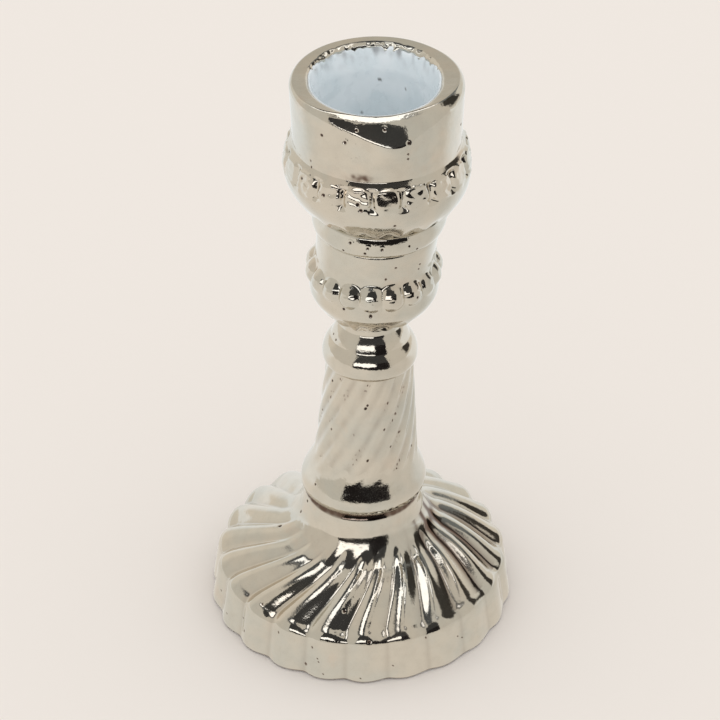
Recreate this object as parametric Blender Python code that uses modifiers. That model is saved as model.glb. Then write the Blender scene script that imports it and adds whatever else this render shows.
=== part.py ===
"""Silver lustre candlestick, in metres, with +Z up and the front towards -Y.

Moulded and turned clay sections stand one on another on short tenons. Round beads are
pressed on round the knop and square ones round the candle cup. The stack is not quite
straight, so every piece is shifted sideways by the sway at its height.
"""

import math

import bmesh
import bpy
from mathutils import Matrix, Vector

MM = 0.001

# Joints: the slip between two pieces, and how far a tenon reaches into the end piece.
LUTE = 0.3 * MM
TENON_GRIP = 3.0 * MM

# Foot: a hollow dome with swirled gadroons, on a scalloped skirt.
FOOT_RADIUS = 30.6 * MM
FOOT_HEIGHT = 22.4 * MM
FOOT_CROWN_RADIUS = 12.2 * MM
FOOT_WALL = 5.0 * MM
SKIRT_HEIGHT = 7.6 * MM
SKIRT_DRAFT = 0.9 * MM
SKIRT_EDGE = 0.4 * MM
GADROON_COUNT = 22
GADROON_DEPTH = 1.2 * MM
GADROON_SWIRL = math.radians(18)
GADROON_FRONT = math.radians(2.2)

# Plain rings round the lower tenon.
COLLAR_RADIUS = 12.0 * MM
COLLAR_HEIGHT = 4.2 * MM
COLLAR_DRAFT = 0.5 * MM
BASE_RING_RADIUS = 12.4 * MM
BASE_RING_HEIGHT = 6.5 * MM

# Stem: a tapered shaft with spiral flutes and a tenon at each end.
STEM_LENGTH = 23.6 * MM
STEM_FOOT_RADIUS = 10.3 * MM
STEM_HEAD_RADIUS = 8.5 * MM
STEM_BORE_RADIUS = 1.8 * MM
LOWER_TENON_RADIUS = 6.0 * MM
UPPER_TENON_RADIUS = 3.4 * MM
FLUTE_COUNT = 18
FLUTE_DEPTH = 0.35 * MM
FLUTE_TWIST = math.radians(70)

# Bell-shaped ring round the upper tenon.
TOP_RING_RADIUS = 9.25 * MM
TOP_RING_NECK_RADIUS = 6.0 * MM
TOP_RING_HEIGHT = 9.6 * MM
TOP_RING_EDGE = 1.7 * MM

# Knop: a bowl, a sloping land for the beads, and a tube with a tenon.
KNOP_NECK_RADIUS = 5.7 * MM
KNOP_BOWL_RADIUS = 12.3 * MM
KNOP_BOWL_HEIGHT = 9.6 * MM
KNOP_LAND_HEIGHT = 3.8 * MM
KNOP_TUBE_RADIUS = 11.2 * MM
KNOP_HEIGHT = 20.8 * MM
KNOP_WALL = 4.0 * MM
KNOP_TENON_RADIUS = 6.5 * MM
KNOP_TENON_WALL = 2.3 * MM
KNOP_BEAD_COUNT = 18
KNOP_BEAD_DEPTH = 0.8 * MM
KNOP_GROOVE = 0.6 * MM
KNOP_BEAD_FRONT = math.radians(-3.1)

# Band between the knop and the cup.
BAND_RADIUS = 12.7 * MM
BAND_HEIGHT = 4.4 * MM
BAND_BULGE = 1.3 * MM

# Candle cup: a bowl, a sloping land for the beads, and a cylinder with a thick lip.
SOCKET_RADIUS = 11.9 * MM
SOCKET_DEPTH = 20.0 * MM
SOCKET_TAPER = 0.7 * MM
LINING_WALL = 0.7 * MM
LIP_WIDTH = 4.3 * MM
LIP_ROUND = 1.3 * MM
CUP_HEIGHT = 26.8 * MM
CUP_WAIST = 0.4 * MM
CUP_BASE_RADIUS = 11.6 * MM
CUP_BOWL_HEIGHT = 9.0 * MM
CUP_LAND_HEIGHT = 4.4 * MM
CUP_BOWL_RADIUS = 17.6 * MM
CUP_GROOVE = 0.5 * MM
CUP_BEAD_COUNT = 19
CUP_BEAD_DEPTH = 0.7 * MM
CUP_BEAD_SHARE = 0.78
CUP_BEAD_FRONT = math.radians(6.4)

# Sideways sway of the hand-built stack, towards +X.
SWAY_STEM_FOOT = 0.9 * MM
SWAY_STEM_HEAD = 1.75 * MM
SWAY_KNOP_FOOT = 1.8 * MM
SWAY_KNOP = 2.5 * MM
SWAY_CUP_FOOT = 3.7 * MM
SWAY_CUP = 2.95 * MM

# How finely round shapes are faceted.
LATHE_STEPS = 36
BORE_STEPS = 24
BEAD_STEPS = 10
GADROON_STEPS = 6
FLUTE_STEPS = 4

# Heights at which the pieces stand, each on a bed of slip.
COLLAR_SEAT = FOOT_HEIGHT + LUTE
BASE_RING_SEAT = COLLAR_SEAT + COLLAR_HEIGHT + LUTE
STEM_SEAT = BASE_RING_SEAT + BASE_RING_HEIGHT + LUTE
TOP_RING_SEAT = STEM_SEAT + STEM_LENGTH + LUTE
KNOP_SEAT = TOP_RING_SEAT + TOP_RING_HEIGHT + LUTE
BAND_SEAT = KNOP_SEAT + KNOP_HEIGHT + LUTE
CUP_SEAT = BAND_SEAT + BAND_HEIGHT + LUTE

SILVER_LUSTRE = (0.67, 0.64, 0.585, 1.0)
WHITE_GLAZE = (0.8, 0.81, 0.81, 1.0)


def sway(z):
    """How far the stack's axis has drifted towards +X at this height."""
    knots = (
        (FOOT_HEIGHT, 0.0),
        (STEM_SEAT, SWAY_STEM_FOOT),
        (TOP_RING_SEAT, SWAY_STEM_HEAD),
        (KNOP_SEAT, SWAY_KNOP_FOOT),
        (KNOP_SEAT + TENON_GRIP, SWAY_KNOP),
        (KNOP_SEAT + KNOP_BOWL_HEIGHT + KNOP_LAND_HEIGHT, SWAY_KNOP),
        (CUP_SEAT, SWAY_CUP_FOOT),
        (CUP_SEAT + CUP_BOWL_HEIGHT, SWAY_CUP),
    )
    if z <= knots[0][0]:
        return knots[0][1]
    for (low, start), (high, end) in zip(knots, knots[1:]):
        if z <= high:
            return start + (end - start) * (z - low) / (high - low)
    return knots[-1][1]


def curve(start, end, lead, trail, count):
    """Points of a Bezier curve whose two handles are shares of the step from start to end."""
    step = (end[0] - start[0], end[1] - start[1])
    first = (start[0] + lead[0] * step[0], start[1] + lead[1] * step[1])
    second = (start[0] + trail[0] * step[0], start[1] + trail[1] * step[1])
    points = []
    for i in range(count + 1):
        t = i / count
        s = 1 - t
        weights = (s * s * s, 3 * s * s * t, 3 * s * t * t, t * t * t)
        corners = (start, first, second, end)
        r = sum(weight * corner[0] for weight, corner in zip(weights, corners))
        z = sum(weight * corner[1] for weight, corner in zip(weights, corners))
        points.append((r, z))
    return points


def quarter(start, end, count, level_first):
    """Points of a quarter ellipse that leaves start level, or upright, and turns to end."""
    points = []
    for i in range(count + 1):
        turn = math.pi / 2 * i / count
        across = math.sin(turn) if level_first else 1 - math.cos(turn)
        along = 1 - math.cos(turn) if level_first else math.sin(turn)
        r = start[0] + (end[0] - start[0]) * across
        z = start[1] + (end[1] - start[1]) * along
        points.append((r, z))
    return points


def polar(radius, angle, z):
    """The point at this radius, with the angle counted from the front towards +X."""
    return Vector((radius * math.sin(angle), -radius * math.cos(angle), z))


def lean(mesh, seat):
    """Shifts each point of a piece by the sway at its height above the floor."""
    for vertex in mesh.vertices:
        vertex.co.x += sway(seat + vertex.co.z) - sway(seat)


def place(name, mesh, seat, group):
    """Stands the mesh on the stack's axis at this height, as an object in a collection."""
    lean(mesh, seat)
    mesh.name = name
    thing = bpy.data.objects.new(name, mesh)
    thing.location = (sway(seat), 0, seat)
    group.objects.link(thing)
    return thing


def turned(outline, steps, closed=True):
    """A mesh turned about Z from an outline that runs down its outer side."""
    profile = bpy.data.meshes.new("profile")
    points = [(r, 0, z) for r, z in outline]
    edges = [(i, i + 1) for i in range(len(points) - 1)]
    if closed:
        edges.append((len(points) - 1, 0))
    profile.from_pydata(points, edges, [])
    blank = bpy.data.objects.new("blank", profile)
    bpy.context.scene.collection.objects.link(blank)
    screw = blank.modifiers.new("lathe", "SCREW")
    screw.steps = steps
    screw.render_steps = steps
    screw.use_merge_vertices = True
    screw.merge_threshold = 0.00001
    graph = bpy.context.evaluated_depsgraph_get()
    mesh = bpy.data.meshes.new_from_object(blank.evaluated_get(graph))
    bpy.data.objects.remove(blank)
    bpy.data.meshes.remove(profile)
    return mesh


def lofted(rings):
    """A mesh skinned over rings of points, from the top down, with both ends closed."""
    shape = bmesh.new()
    loops = [[shape.verts.new(point) for point in ring] for ring in rings]
    for upper, lower in zip(loops, loops[1:]):
        for i in range(len(upper)):
            shape.faces.new((upper[i - 1], lower[i - 1], lower[i], upper[i]))
    shape.faces.new(loops[0])
    shape.faces.new(reversed(loops[-1]))
    bmesh.ops.recalc_face_normals(shape, faces=shape.faces)
    mesh = bpy.data.meshes.new("loft")
    shape.to_mesh(mesh)
    shape.free()
    return mesh


def cut(thing, cutter):
    """Takes the cutter's shape away from the piece."""
    cutter.hide_render = True
    cutter.display_type = "WIRE"
    boolean = thing.modifiers.new(cutter.name, "BOOLEAN")
    boolean.operation = "DIFFERENCE"
    boolean.solver = "EXACT"
    boolean.object = cutter


def glaze(thing, colour, metallic, roughness):
    """Gives the piece its own glaze."""
    material = bpy.data.materials.new(thing.name)
    material.use_nodes = True
    shader = material.node_tree.nodes["Principled BSDF"]
    shader.inputs["Base Color"].default_value = colour
    shader.inputs["Metallic"].default_value = metallic
    shader.inputs["Roughness"].default_value = roughness
    thing.data.materials.clear()
    thing.data.materials.append(material)


def reed(share):
    """Depth of a reeded surface: none on a crest, full in the groove half a reed away."""
    off_crest = 2 * (share - math.floor(share + 0.5))
    return off_crest * off_crest


def gadrooned_dome():
    """The foot's outer form: each ring is pressed in between the gadroons, at right angles
    to the outline, and the rings of the dome are turned so that the gadroons swirl."""
    skirt_top = FOOT_RADIUS - SKIRT_DRAFT
    outline = curve(
        (FOOT_CROWN_RADIUS, FOOT_HEIGHT),
        (skirt_top, SKIRT_HEIGHT),
        (0.26, 0.21),
        (0.78, 0.56),
        9,
    )
    dome_last = len(outline) - 1
    outline.append((FOOT_RADIUS, SKIRT_EDGE))
    outline.append((FOOT_RADIUS - SKIRT_EDGE, 0.0))
    around = GADROON_COUNT * GADROON_STEPS
    rings = []
    for i, (r, z) in enumerate(outline):
        down = min(i / dome_last, 1.0)
        swirl = GADROON_SWIRL * (1 - down) ** 1.4
        depth = GADROON_DEPTH * math.sin(math.pi / 2 * min(2.5 * down, 1.0))
        before = outline[max(i - 1, 0)]
        after = outline[min(i + 1, dome_last)]
        along = Vector((after[0] - before[0], after[1] - before[1]))
        out = Vector((-along.y, along.x)).normalized() if 0 < i < dome_last else Vector((1, 0))
        ring = []
        for j in range(around):
            share = j / GADROON_STEPS
            press = depth * reed(share)
            angle = GADROON_FRONT + swirl + 2 * math.pi * share / GADROON_COUNT
            ring.append(polar(r - press * out.x, angle, z - press * out.y))
        rings.append(ring)
    return lofted(rings)


def foot_hollow():
    """The space under the foot, and the hole in its crown for the lower tenon."""
    hole = LOWER_TENON_RADIUS + LUTE
    ceiling = FOOT_HEIGHT - FOOT_WALL
    rim = FOOT_RADIUS - FOOT_WALL
    past = FOOT_WALL / 2
    outline = [(0.0, FOOT_HEIGHT + past), (hole, FOOT_HEIGHT + past), (hole, ceiling)]
    outline += curve((hole + LUTE, ceiling), (rim, past), (0.45, 0.1), (0.95, 0.5), 6)
    outline += [(rim, -past), (0.0, -past)]
    return turned(outline, LATHE_STEPS, closed=False)


def collar():
    hole = LOWER_TENON_RADIUS + LUTE
    top = COLLAR_RADIUS - COLLAR_DRAFT
    outline = [(hole, COLLAR_HEIGHT), (top - COLLAR_DRAFT, COLLAR_HEIGHT)]
    outline += [(top, COLLAR_HEIGHT - COLLAR_DRAFT)]
    outline += [(COLLAR_RADIUS - COLLAR_DRAFT / 2, COLLAR_HEIGHT / 3)]
    outline += [(COLLAR_RADIUS, 0.0), (hole, 0.0)]
    return turned(outline, LATHE_STEPS)


def base_ring():
    hole = LOWER_TENON_RADIUS + LUTE
    widest = (BASE_RING_RADIUS, 0.3 * BASE_RING_HEIGHT)
    shoulder = (STEM_FOOT_RADIUS + LUTE, BASE_RING_HEIGHT)
    under = (0.94 * BASE_RING_RADIUS, 0.0)
    outline = [(hole, BASE_RING_HEIGHT)]
    outline += curve(shoulder, widest, (0.2, 0.2), (0.95, 0.6), 5)
    outline += quarter(widest, under, 3, level_first=False)[1:]
    outline += [(hole, 0.0)]
    return turned(outline, LATHE_STEPS)


def fluted_stem():
    """The shaft's rings are turned a little further at each height, so the flutes spiral."""
    head = TOP_RING_HEIGHT + 2 * LUTE + TENON_GRIP
    foot = BASE_RING_HEIGHT + COLLAR_HEIGHT + 3 * LUTE
    shaft_rings = 9
    outline = [(UPPER_TENON_RADIUS, STEM_LENGTH + head, 0.0)]
    outline += [(UPPER_TENON_RADIUS, TOP_RING_HEIGHT + STEM_LENGTH + 2 * LUTE, 0.0)]
    outline += [(UPPER_TENON_RADIUS, STEM_LENGTH, 0.0)]
    for i in range(shaft_rings):
        up = 1 - i / (shaft_rings - 1)
        r = STEM_FOOT_RADIUS + (STEM_HEAD_RADIUS - STEM_FOOT_RADIUS) * up
        outline.append((r, STEM_LENGTH * up, FLUTE_DEPTH))
    outline += [(LOWER_TENON_RADIUS, 0.0, 0.0), (LOWER_TENON_RADIUS, -foot, 0.0)]
    outline += [(LOWER_TENON_RADIUS, -foot - TENON_GRIP, 0.0)]
    around = FLUTE_COUNT * FLUTE_STEPS
    rings = []
    for r, z, depth in outline:
        up = min(max(z / STEM_LENGTH, 0.0), 1.0)
        ring = []
        for j in range(around):
            share = j / FLUTE_STEPS
            angle = FLUTE_TWIST * up + 2 * math.pi * share / FLUTE_COUNT
            ring.append(polar(r - depth * reed(share), angle, z))
        rings.append(ring)
    return lofted(rings)


def stem_bore():
    """The vent through the stem, which follows its sway."""
    low = -(BASE_RING_HEIGHT + COLLAR_HEIGHT + 3 * LUTE)
    high = STEM_LENGTH + TOP_RING_HEIGHT + 2 * LUTE
    past = 2 * TENON_GRIP
    r = STEM_BORE_RADIUS
    outline = [(0.0, high + past), (r, high + past), (r, high), (r, STEM_LENGTH)]
    outline += [(r, 0.0), (r, low), (r, low - past), (0.0, low - past)]
    return turned(outline, BORE_STEPS, closed=False)


def top_ring():
    hole = UPPER_TENON_RADIUS + LUTE
    widest = (TOP_RING_RADIUS, TOP_RING_EDGE)
    neck = (TOP_RING_NECK_RADIUS, TOP_RING_HEIGHT)
    under = (0.91 * TOP_RING_RADIUS, 0.0)
    outline = [(hole, TOP_RING_HEIGHT)]
    outline += curve(neck, widest, (0.1, 0.42), (0.85, 0.6), 7)
    outline += quarter(widest, under, 3, level_first=False)[1:]
    outline += [(hole, 0.0)]
    return turned(outline, LATHE_STEPS)


def knop_land():
    """Foot and head of the sloping land that carries the knop's beads."""
    foot = (KNOP_BOWL_RADIUS - KNOP_GROOVE, KNOP_BOWL_HEIGHT)
    head = (KNOP_TUBE_RADIUS - KNOP_GROOVE, KNOP_BOWL_HEIGHT + KNOP_LAND_HEIGHT)
    return foot, head


def knop():
    """A bowl and tube with a socket below for the stem's tenon and a tenon above."""
    foot, head = knop_land()
    cup_seat = KNOP_HEIGHT + 2 * LUTE + BAND_HEIGHT
    top = cup_seat + TENON_GRIP
    bore = KNOP_TENON_RADIUS - KNOP_TENON_WALL
    socket = UPPER_TENON_RADIUS + LUTE
    socket_top = TENON_GRIP + LUTE
    hollow = KNOP_TUBE_RADIUS - KNOP_WALL
    outline = [(bore, top), (KNOP_TENON_RADIUS, top)]
    outline += [(KNOP_TENON_RADIUS, cup_seat), (KNOP_TENON_RADIUS, KNOP_HEIGHT)]
    outline += [(KNOP_TUBE_RADIUS, KNOP_HEIGHT)]
    outline += [(KNOP_TUBE_RADIUS + LUTE, KNOP_HEIGHT - 2 * LUTE)]
    outline += [(KNOP_TUBE_RADIUS, head[1] + KNOP_GROOVE), head, foot]
    outline += curve(
        (KNOP_BOWL_RADIUS, 0.85 * KNOP_BOWL_HEIGHT),
        (KNOP_NECK_RADIUS, 0.0),
        (0.0, 0.4),
        (0.75, 0.85),
        6,
    )
    outline += [(socket, 0.0), (socket, socket_top)]
    outline += [(hollow, KNOP_BOWL_HEIGHT), (hollow, KNOP_HEIGHT - KNOP_WALL)]
    outline += [(bore, KNOP_HEIGHT)]
    return turned(outline, LATHE_STEPS)


def band():
    hole = KNOP_TENON_RADIUS + LUTE
    edge = BAND_RADIUS - BAND_BULGE
    middle = (BAND_RADIUS, BAND_HEIGHT / 2)
    outline = [(hole, BAND_HEIGHT)]
    outline += quarter((edge, BAND_HEIGHT), middle, 3, level_first=True)
    outline += quarter(middle, (edge, 0.0), 3, level_first=False)[1:]
    outline += [(hole, 0.0)]
    return turned(outline, LATHE_STEPS)


def cup_land():
    """Foot and head of the sloping belt that carries the cup's beads."""
    waist = SOCKET_RADIUS + LIP_WIDTH - CUP_WAIST
    foot = (CUP_BOWL_RADIUS - CUP_GROOVE, CUP_BOWL_HEIGHT)
    head = (waist, CUP_BOWL_HEIGHT + CUP_LAND_HEIGHT)
    return foot, head


def cup():
    """Bowl, belt and cylinder, bored from above for the lining and below for a tenon."""
    foot, head = cup_land()
    radius = SOCKET_RADIUS + LIP_WIDTH
    bore = SOCKET_RADIUS + LINING_WALL + LUTE
    floor = CUP_HEIGHT - SOCKET_DEPTH - LINING_WALL - LUTE
    socket = KNOP_TENON_RADIUS + LUTE
    lip = (radius - LIP_ROUND, CUP_HEIGHT)
    throat = (bore, CUP_HEIGHT - LIP_ROUND)
    outline = [(0.0, floor), (bore - SOCKET_TAPER, floor), throat]
    outline += quarter(throat, (bore + LIP_ROUND, CUP_HEIGHT), 2, level_first=False)[1:]
    outline += quarter(lip, (radius, CUP_HEIGHT - LIP_ROUND), 3, level_first=True)
    outline += [(head[0], head[1] + CUP_LAND_HEIGHT), head, foot]
    outline += curve(
        (CUP_BOWL_RADIUS, CUP_BOWL_HEIGHT - 2 * CUP_GROOVE),
        (CUP_BASE_RADIUS, 0.0),
        (0.05, 0.5),
        (0.6, 0.9),
        6,
    )
    outline += [(socket, 0.0), (socket, TENON_GRIP + LUTE), (0.0, TENON_GRIP + LUTE)]
    return turned(outline, LATHE_STEPS, closed=False)


def lining():
    """The coat of white glaze: a cup that narrows slightly to its floor."""
    depth = SOCKET_DEPTH - LIP_ROUND + LINING_WALL
    inner_floor = SOCKET_RADIUS - SOCKET_TAPER
    outline = [(0.0, LINING_WALL), (inner_floor - LINING_WALL, LINING_WALL)]
    outline += [(inner_floor, 2 * LINING_WALL), (SOCKET_RADIUS, depth)]
    outline += [(SOCKET_RADIUS + LINING_WALL, depth)]
    outline += [(inner_floor + LINING_WALL, 0.0), (0.0, 0.0)]
    return turned(outline, LATHE_STEPS, closed=False)


def bead_seat(land, seat, lift):
    """Radius, height and slope of a bead's back, one bed of slip off the land."""
    foot, head = land
    slope = math.atan2(foot[0] - head[0], head[1] - foot[1])
    r = (foot[0] + head[0]) / 2 + lift * math.cos(slope)
    z = seat + (foot[1] + head[1]) / 2 + lift * math.sin(slope)
    return r, z, slope


def square_bead(width, height, depth):
    """A pad with a flat back on the plane x = 0 and rounded front edges and corners."""
    shape = bmesh.new()
    bmesh.ops.create_cube(shape, size=1.0)
    bmesh.ops.translate(shape, verts=shape.verts, vec=(0.5, 0, 0))
    bmesh.ops.scale(shape, verts=shape.verts, vec=(depth, width, height))
    middle = depth / 2
    rounded = [e for e in shape.edges if max(v.co.x for v in e.verts) > middle]
    bmesh.ops.bevel(
        shape,
        geom=rounded,
        offset=0.7 * depth,
        offset_type="OFFSET",
        segments=2,
        profile=0.5,
        affect="EDGES",
        clamp_overlap=True,
    )
    mesh = bpy.data.meshes.new("square_bead")
    shape.to_mesh(mesh)
    shape.free()
    return mesh


def round_bead(width, height, depth):
    """A domed bead with a flat back on the plane x = 0."""
    outline = quarter((0.0, depth), (width / 2, 0.0), 3, level_first=True)
    mesh = turned(outline + [(0.0, 0.0)], BEAD_STEPS, closed=False)
    mesh.transform(Matrix.Rotation(math.pi / 2, 4, "Y"))
    mesh.transform(Matrix.Diagonal((1.0, 1.0, height / width, 1.0)))
    return mesh


def bead_row(name, count, front, seat, mesh, group):
    """Presses a row of like beads on to a land, evenly spaced round the axis."""
    r, z, slope = seat
    beads = []
    for i in range(count):
        angle = front + 2 * math.pi * i / count
        bead = bpy.data.objects.new(f"{name}_{i + 1:02d}", mesh.copy())
        bead.location = polar(r, angle, z) + Vector((sway(z), 0, 0))
        bead.rotation_euler = (0, -slope, angle - math.pi / 2)
        group.objects.link(bead)
        beads.append(bead)
    return beads


def build():
    for thing in list(bpy.data.objects):
        bpy.data.objects.remove(thing)
    candlestick = bpy.data.collections.new("candlestick")
    cutters = bpy.data.collections.new("cutters")
    bpy.context.scene.collection.children.link(candlestick)
    bpy.context.scene.collection.children.link(cutters)

    foot = place("foot", gadrooned_dome(), 0.0, candlestick)
    cut(foot, place("foot_hollow", foot_hollow(), 0.0, cutters))
    stem = place("stem", fluted_stem(), STEM_SEAT, candlestick)
    cut(stem, place("stem_bore", stem_bore(), STEM_SEAT, cutters))
    silver = [foot, stem]
    silver.append(place("foot_collar", collar(), COLLAR_SEAT, candlestick))
    silver.append(place("stem_base_ring", base_ring(), BASE_RING_SEAT, candlestick))
    silver.append(place("stem_top_ring", top_ring(), TOP_RING_SEAT, candlestick))
    silver.append(place("knop", knop(), KNOP_SEAT, candlestick))
    silver.append(place("neck_band", band(), BAND_SEAT, candlestick))
    silver.append(place("candle_cup", cup(), CUP_SEAT, candlestick))

    seat = bead_seat(knop_land(), KNOP_SEAT, LUTE)
    width = 2 * seat[0] * math.tan(math.pi / KNOP_BEAD_COUNT) - LUTE
    silver += bead_row(
        "knop_bead",
        KNOP_BEAD_COUNT,
        KNOP_BEAD_FRONT,
        seat,
        round_bead(width, KNOP_LAND_HEIGHT - LUTE, KNOP_BEAD_DEPTH),
        candlestick,
    )
    seat = bead_seat(cup_land(), CUP_SEAT, LUTE)
    side = CUP_BEAD_SHARE * 2 * math.pi * seat[0] / CUP_BEAD_COUNT
    silver += bead_row(
        "cup_bead",
        CUP_BEAD_COUNT,
        CUP_BEAD_FRONT,
        seat,
        square_bead(side, CUP_LAND_HEIGHT - LUTE, CUP_BEAD_DEPTH),
        candlestick,
    )

    lining_seat = CUP_SEAT + CUP_HEIGHT - SOCKET_DEPTH - LINING_WALL
    white = place("socket_lining", lining(), lining_seat, candlestick)
    for piece in silver:
        glaze(piece, SILVER_LUSTRE, 1.0, 0.12)
    glaze(white, WHITE_GLAZE, 0.0, 0.25)

    stack = bpy.data.objects.new("stack", None)
    candlestick.objects.link(stack)
    for piece in silver + [white]:
        piece.parent = stack


build()
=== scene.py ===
"""Looks of the silver lustre candlestick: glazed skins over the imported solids.

Every skin is turned from the outline of its solid, softened as glaze softens clay, and pressed
with the gadroons, flutes, beads and unevenness of a hand-made piece. Sizes are in millimetres,
with +Z up and the front towards -Y; meshes are handed over in metres.
"""

import math

import bpy
import numpy as np
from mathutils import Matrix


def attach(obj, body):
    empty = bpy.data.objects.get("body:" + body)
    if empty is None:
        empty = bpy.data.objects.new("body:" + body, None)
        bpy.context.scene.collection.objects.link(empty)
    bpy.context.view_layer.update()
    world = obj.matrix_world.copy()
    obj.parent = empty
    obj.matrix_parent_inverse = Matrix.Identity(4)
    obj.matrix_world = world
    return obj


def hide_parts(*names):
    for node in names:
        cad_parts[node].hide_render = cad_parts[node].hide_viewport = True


# Joints of the solids: the slip between two pieces, and the tenons that they stand on.
LUTE = 0.3
LOWER_TENON_RADIUS = 6.0
UPPER_TENON_RADIUS = 3.4
KNOP_TENON_RADIUS = 6.5

# Foot. A place on its outline is a radius and a height.
FOOT_RADIUS = 30.6
FOOT_HEIGHT = 22.4
FOOT_WALL = 5.0
FOOT_COVE = (16.5, 17.3)
FOOT_BROW = (27.4, 11.0)
SKIRT_TOP = (29.45, 8.2)
SKIRT_HEIGHT = 7.6
SKIRT_EDGE = 0.4
GADROON_COUNT = 22
GADROON_SWIRL = math.radians(18)
GADROON_FRONT = math.radians(2.2)
GADROON_START_RADIUS = 13.3
GADROON_DEPTH_SHARE = 0.046
GADROON_LEAN = 0.12

# Where the gadroons are flattest and where their grooves are darkest: a turn from the front towards
# +X and how far it spreads, in radians.
GADROON_CALM = (0.75, 0.42)
GADROON_DARK = (1.15, 0.38)

# Rings at the bottom of the stem.
COLLAR_RADIUS = 12.0
COLLAR_HEIGHT = 4.2
COLLAR_DRAFT = 0.5
BASE_RING_RADIUS = 12.4
BASE_RING_HEIGHT = 6.5

# Stem and the ring at its top.
STEM_LENGTH = 23.6
STEM_FOOT_RADIUS = 10.3
STEM_HEAD_RADIUS = 8.5
FLUTE_COUNT = 18
FLUTE_DEPTH = 0.35
FLUTE_TWIST = math.radians(70)
TOP_RING_RADIUS = 9.25
TOP_RING_HEIGHT = 9.6
TOP_RING_EDGE = 1.7
TOP_RING_WAIST_RADIUS = 7.6
TOP_RING_WAIST_HEIGHT = 5.4

# Knop. Its beads are spheres, sunk in the clay by a share of their radius.
KNOP_NECK_RADIUS = 5.7
KNOP_BOWL_RADIUS = 12.3
KNOP_BOWL_HEIGHT = 9.6
KNOP_LAND_HEIGHT = 3.8
KNOP_TUBE_RADIUS = 11.2
KNOP_HEIGHT = 20.8
KNOP_BEAD_COUNT = 18
KNOP_BEAD_FRONT = math.radians(-3.1)
KNOP_BEAD_RADIUS = 3.0
KNOP_BEAD_SUNK = 0.62
KNOP_BEAD_UNEVEN = 0.1
KNOP_BEAD_BLEND = 0.35
KNOP_BEAD_BELOW_LAND = 1.8

# Band between the knop and the cup.
BAND_RADIUS = 12.7
BAND_HEIGHT = 4.4
BAND_BULGE = 1.3

# Candle cup and its socket.
SOCKET_RADIUS = 11.9
SOCKET_DEPTH = 20.0
SOCKET_TAPER = 0.7
LIP_WIDTH = 4.3
CUP_HEIGHT = 26.8
CUP_WAIST = 0.4
CUP_BASE_RADIUS = 11.6
CUP_BOWL_HEIGHT = 9.0
CUP_LAND_HEIGHT = 4.4
CUP_BOWL_RADIUS = 17.6
CUP_BEAD_COUNT = 19

# Heights at which the pieces stand, each on a bed of slip.
COLLAR_SEAT = FOOT_HEIGHT + LUTE
BASE_RING_SEAT = COLLAR_SEAT + COLLAR_HEIGHT + LUTE
STEM_SEAT = BASE_RING_SEAT + BASE_RING_HEIGHT + LUTE
TOP_RING_SEAT = STEM_SEAT + STEM_LENGTH + LUTE
KNOP_SEAT = TOP_RING_SEAT + TOP_RING_HEIGHT + LUTE
BAND_SEAT = KNOP_SEAT + KNOP_HEIGHT + LUTE
CUP_SEAT = BAND_SEAT + BAND_HEIGHT + LUTE
RIM = CUP_SEAT + CUP_HEIGHT

# Heights and sideways drift of the stack's axis towards +X.
SWAY = (
    (FOOT_HEIGHT, 0.0),
    (STEM_SEAT, 0.9),
    (TOP_RING_SEAT, 1.75),
    (KNOP_SEAT, 1.8),
    (KNOP_SEAT + 3.0, 2.5),
    (KNOP_SEAT + KNOP_BOWL_HEIGHT + KNOP_LAND_HEIGHT, 2.5),
    (CUP_SEAT, 3.7),
    (CUP_SEAT + CUP_BOWL_HEIGHT, 2.95),
)


def curve(start, end, lead, trail, count=60):
    """Points of a Bezier curve whose two handles are shares of the step from start to end."""
    start, end = np.array(start, float), np.array(end, float)
    first, second = start + lead * (end - start), start + trail * (end - start)
    t = np.linspace(0, 1, count + 1)[:, None]
    s = 1 - t
    return s**3 * start + 3 * s * s * t * first + 3 * s * t * t * second + t**3 * end


def quarter(start, end, level_first, count=24):
    """Points of a quarter ellipse that leaves start level, or upright, and turns to end."""
    turn = np.linspace(0, math.pi / 2, count + 1)
    across, along = np.sin(turn), 1 - np.cos(turn)
    if not level_first:
        across, along = along, across
    (r0, z0), (r1, z1) = start, end
    return np.stack([r0 + (r1 - r0) * across, z0 + (z1 - z0) * along], 1)


def run_of(line):
    """Distance along a line of points from its start to each of them."""
    return np.concatenate([[0], np.cumsum(np.hypot(*np.diff(line, axis=0).T))])


def evenly(line, places):
    """The line's points at these distances along it."""
    run = run_of(line)
    return np.stack([np.interp(places, run, line[:, k]) for k in (0, 1)], 1)


def softened(sections, radius, rows):
    """One outline through all sections, with its corners rounded as thick glaze rounds them."""
    line = np.concatenate([np.atleast_2d(np.array(s, float)) for s in sections])
    fine = 0.04
    line = evenly(line, np.arange(0, run_of(line)[-1], fine))
    reach = int(3 * radius / fine)
    bell = np.exp(-0.5 * (np.arange(-reach, reach + 1) * fine / radius) ** 2)
    padded = np.pad(line, ((reach, reach), (0, 0)), mode="reflect", reflect_type="odd")
    line = np.stack([np.convolve(padded[:, k], bell / bell.sum(), "valid") for k in (0, 1)], 1)
    return evenly(line, np.linspace(0, run_of(line)[-1], rows))


def closer_rows(outline, rows, height, width):
    """This many points of the outline, closer together round one height."""
    weight = np.cumsum(1 + 6 * bump(outline[:, 1] - height, width))
    places = np.interp(np.linspace(weight[0], weight[-1], rows), weight, run_of(outline))
    return evenly(outline, places)


def around_axis(count, crowd=0.3):
    """Angles of a ring's points from the front towards +X, closer together in front."""
    turn = np.arange(count) * 2 * math.pi / count - math.pi
    return turn - crowd * np.sin(turn)


def turned(outline, count):
    """Radius and height of the points of an outline turned about the axis."""
    r = np.repeat(outline[:, :1], count, axis=1)
    z = np.repeat(outline[:, 1:], count, axis=1)
    return r, z


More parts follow.
